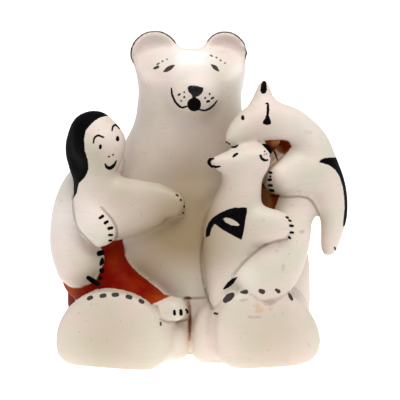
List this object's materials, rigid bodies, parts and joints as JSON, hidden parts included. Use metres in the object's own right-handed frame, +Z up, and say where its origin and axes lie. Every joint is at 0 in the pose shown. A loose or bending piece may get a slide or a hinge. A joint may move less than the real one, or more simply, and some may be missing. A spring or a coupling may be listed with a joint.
{
  "type": "pottery storyteller bear figurine",
  "caption": "Seated hand-built clay bear holding a child, a bear cub and a dog, slipped cream and red with black painted details.",
  "frame": {"origin": "under the middle of the figure's bounding box, on the plane of its underside", "axes": "+Z up from the underside to the ears, -Y the front that the soles and faces look to, +X to the right as the front is seen"},
  "size_m": [0.1446, 0.097, 0.153],
  "materials": {
    "slipped_clay": "cream clay slip, softly burnished, with red slip on the lap and matte black paint"
  },
  "bodies": {
    "root": {"bear_storyteller": "slipped_clay"}
  },
  "joints": []
}
